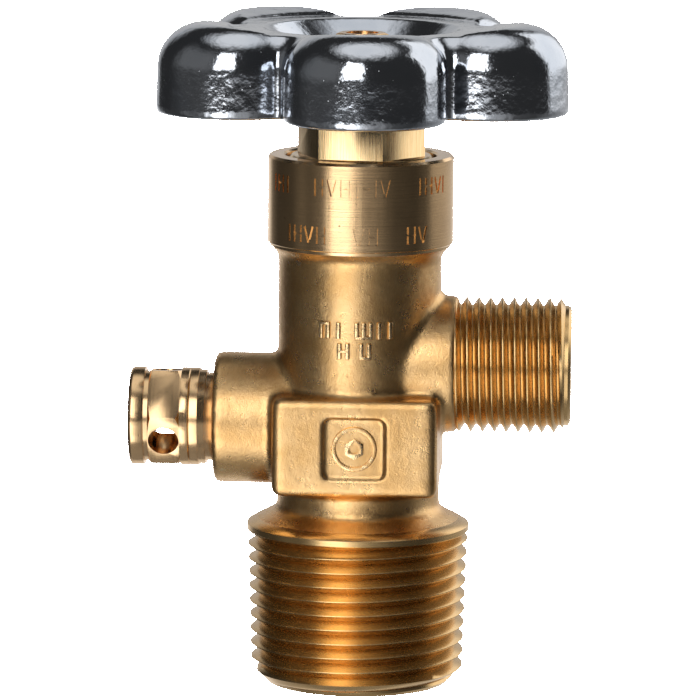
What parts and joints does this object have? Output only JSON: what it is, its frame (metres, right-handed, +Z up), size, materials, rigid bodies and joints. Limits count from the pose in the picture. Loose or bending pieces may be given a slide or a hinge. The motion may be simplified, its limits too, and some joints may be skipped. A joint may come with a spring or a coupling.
{
  "type": "gas cylinder valve",
  "caption": "Brass gas cylinder valve with a lobed chromed handwheel, tapered inlet thread, threaded side outlet and vented hexagon relief plug.",
  "frame": {"origin": "centre of the inlet's flat bottom face, on the valve's axis", "axes": "+Z up the valve's axis towards the handwheel, +X out of the side outlet, -X towards the relief plug"},
  "size_m": [0.0678, 0.0607, 0.1025],
  "materials": {
    "forged_brass": "shot-blasted forging with machined collar and threads",
    "machined_brass": "bright turned",
    "chromed_zinc": "chromed die casting with a fine ripple",
    "spring_steel": "drawn wire",
    "zinc_plated_steel": "satin",
    "copper": "soft annealed copper",
    "nickel_foil": "rolled foil",
    "nylon": "matte",
    "ptfe": "waxy",
    "rubber": "matte"
  },
  "bodies": {
    "valve": {"valve_body": "forged_brass", "bonnet": "machined_brass", "bonnet_gasket": "ptfe", "spring_seat_washer": "nylon", "relief_plug": "machined_brass", "relief_gasket": "copper", "rupture_disc": "nickel_foil", "disc_slip_ring": "machined_brass"},
    "stem": {"upper_stem": "machined_brass", "stem_thrust_washer": "ptfe", "backup_ring_lower": "ptfe", "stem_o_ring": "rubber", "backup_ring_upper": "ptfe", "handwheel": "chromed_zinc", "handwheel_spring": "spring_steel", "handwheel_washer": "zinc_plated_steel", "handwheel_nut": "machined_brass"},
    "seat_spindle": {"lower_spindle": "machined_brass", "seat_insert": "nylon", "seat_retainer": "machined_brass"}
  },
  "joints": [
    {"name": "handwheel_turn", "type": "hinge", "parent": "valve", "child": "stem", "pos_m": [0, 0, 0.0888], "axis": [0, 0, 1], "range_deg": [0, 576]},
    {"name": "seat_lift", "type": "slide", "parent": "stem", "child": "seat_spindle", "axis": [0, 0, 1], "range_m": [0, 0.0032]}
  ],
  "couplings": [
    {"joint": "seat_lift", "follows": "handwheel_turn", "m_per_rad": 0.00031831}
  ]
}
